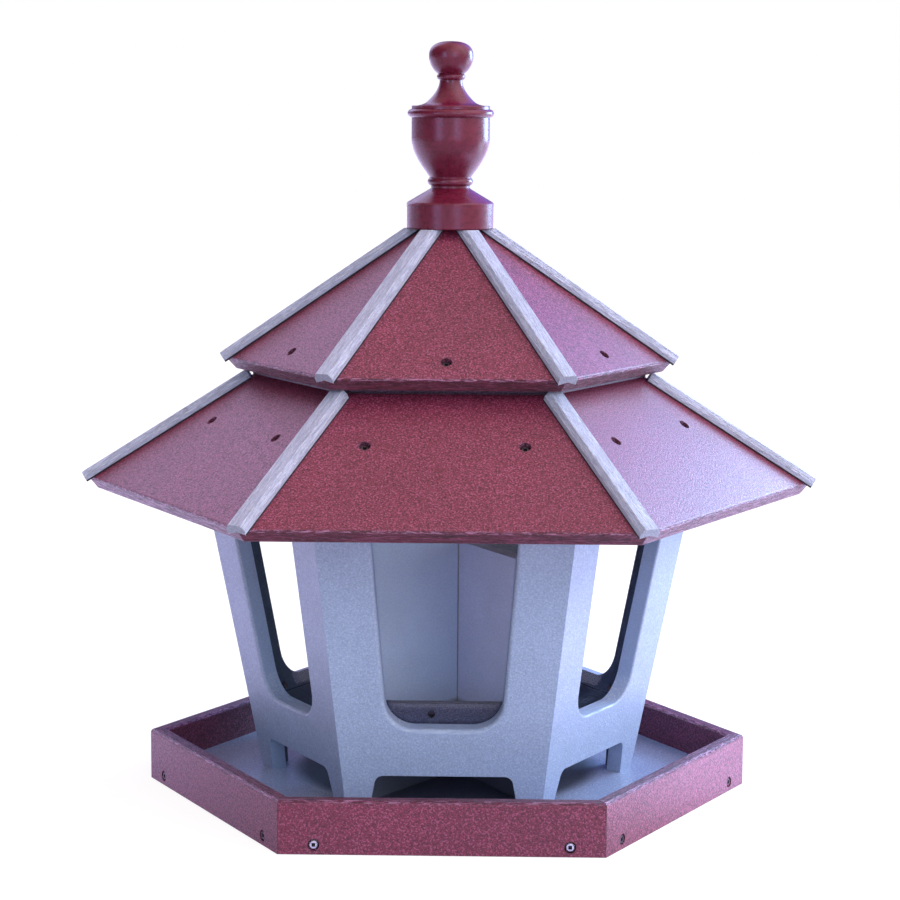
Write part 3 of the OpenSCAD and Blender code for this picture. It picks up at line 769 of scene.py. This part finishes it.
# The room's light comes in soft patches, and its mirror images in sheens: each has a direction, how
# many degrees it reaches round that, and a colour. The camera itself sees white.
PATCHES = [
    ((0, 0, 1), 56, (1.05, 0.72, 0.72)),
    ((0, -0.8, 0.6), 56, (0.11, 0.13, 0.09)),
    ((0, -0.98, 0.2), 56, (0.76, 0.95, 1.22)),
    ((0.7, -0.5, 0.5), 56, (1.35, 1.20, 1.24)),
    ((0.8, 0.1, 0.6), 56, (1.09, 1.16, 1.42)),
    ((0.7, 0.7, 0.15), 56, (0.08, 0.10, 0.30)),
    ((0, 1, 0.15), 56, (0.08, 0.10, 0.30)),
    ((-0.9, 0.1, 0.3), 56, (0.15, 0.14, 0.17)),
]
SHEENS = [
    ((0.41, 0.75, 0.51), 26, (0.30, 0.20, 1.40)),
    ((-0.41, 0.75, 0.51), 26, (1.75, 1.68, 2.60)),
    ((-0.55, 0.83, 0.05), 34, (0.62, 0.55, 1.00)),
    ((0.55, 0.83, 0.05), 34, (0.34, 0.60, 1.70)),
    ((-0.55, -0.83, 0.08), 13, (4.4, 4.4, 9.0)),
    ((0.33, -0.94, 0.12), 11, (5.0, 4.6, 9.5)),
]


def soft_patches(t, direction, entries):
    """The sum of soft round patches of light."""
    total = None
    for toward, reach, colour in entries:
        facing = t.vector("DOT_PRODUCT", direction, Vector(toward).normalized()).outputs["Value"]
        amount = t.ramp(facing, math.cos(math.radians(reach)), 1.0)
        patch = t.add("VectorMath", {"operation": "SCALE"}, i0=colour, Scale=amount).outputs[0]
        total = patch if total is None else t.vector("ADD", total, patch).outputs[0]
    return total


def studio_world():
    world = bpy.data.worlds.new("studio")
    bpy.context.scene.world = world
    t = Tree(world, "OutputWorld")
    direction = t.add("TexCoord").outputs["Generated"]
    path = t.add("LightPath")
    room = soft_patches(t, direction, PATCHES)
    mirrored = t.vector("ADD", room, soft_patches(t, direction, SHEENS)).outputs[0]
    in_diffuse = t.add("Background", None, Color=room, Strength=1.0)
    in_gloss = t.add("Background", None, Color=mirrored, Strength=1.0)
    seen = t.add("Background", None, Color=(1, 1, 1, 1), Strength=1.0)
    dull = t.add("MixShader", None, i0=path.outputs["Is Glossy Ray"], i1=in_diffuse.outputs[0],
                 i2=in_gloss.outputs[0])
    direct = t.math("MAXIMUM", path.outputs["Is Camera Ray"], path.outputs["Is Transmission Ray"])
    t.surface(t.add("MixShader", None, i0=direct, i1=dull.outputs[0], i2=seen.outputs[0]))
    world.cycles.sampling_method = "NONE"


def lamp(name, place, aim, wide, tall, watts, colour):
    """A soft box: an area lamp at place, turned to face aim."""
    data = bpy.data.lights.new(name, "AREA")
    data.shape = "RECTANGLE"
    data.size = wide
    data.size_y = tall
    data.energy = watts
    data.color = colour
    obj = bpy.data.objects.new(name, data)
    bpy.context.scene.collection.objects.link(obj)
    obj.location = place
    obj.rotation_euler = (Vector(aim) - Vector(place)).to_track_quat("-Z", "Y").to_euler()


studio_world()
lamp("window_high", place=(0.98, 0.75, 0.68), aim=(0.22, -0.05, 0.28), wide=0.55, tall=0.5, watts=19,
     colour=(0.42, 0.68, 1.0))
lamp("window_low", place=(1.2, 0.42, 0.18), aim=(0.2, -0.12, 0.05), wide=0.6, tall=0.36, watts=2.5,
     colour=(0.6, 0.85, 1.0))

# The camera stands where a fit to the object's corners in the picture puts it: angles in radians,
# lengths in metres, and the focal length in pixels of a picture that is PICTURE_PX wide.
TURN = math.radians(0.814)
TILT = math.radians(7.82)
ROLL = math.radians(0.391)
CAMERA_AWAY = 2.0545
AIM_HEIGHT = 0.2787
AIM_SIDE = 0.0012
FOCAL_PX = 2503
PICTURE_PX = 900
SENSOR_MM = 36


def camera_pose():
    turn = Matrix.Rotation(TURN, 3, "Z")
    ahead = Vector((0, math.cos(TILT), -math.sin(TILT)))
    up = Vector((0, math.sin(TILT), math.cos(TILT)))
    right = Vector((1, 0, 0))
    rolled_up = up * math.cos(ROLL) - right * math.sin(ROLL)
    rolled_right = right * math.cos(ROLL) + up * math.sin(ROLL)
    pose = Matrix([turn @ v for v in (rolled_right, rolled_up, -ahead)]).transposed().to_4x4()
    pose.translation = turn @ (Vector((AIM_SIDE, 0, AIM_HEIGHT)) - ahead * CAMERA_AWAY)
    return pose


lens = bpy.data.cameras.new("camera")
lens.sensor_fit = "HORIZONTAL"
lens.sensor_width = SENSOR_MM
lens.lens = FOCAL_PX / PICTURE_PX * SENSOR_MM
lens.clip_start = 0.05
lens.clip_end = 60
camera = bpy.data.objects.new("camera", lens)
bpy.context.scene.collection.objects.link(camera)
camera.matrix_world = camera_pose()
bpy.context.scene.camera = camera

bpy.context.scene.view_settings.view_transform = "Standard"
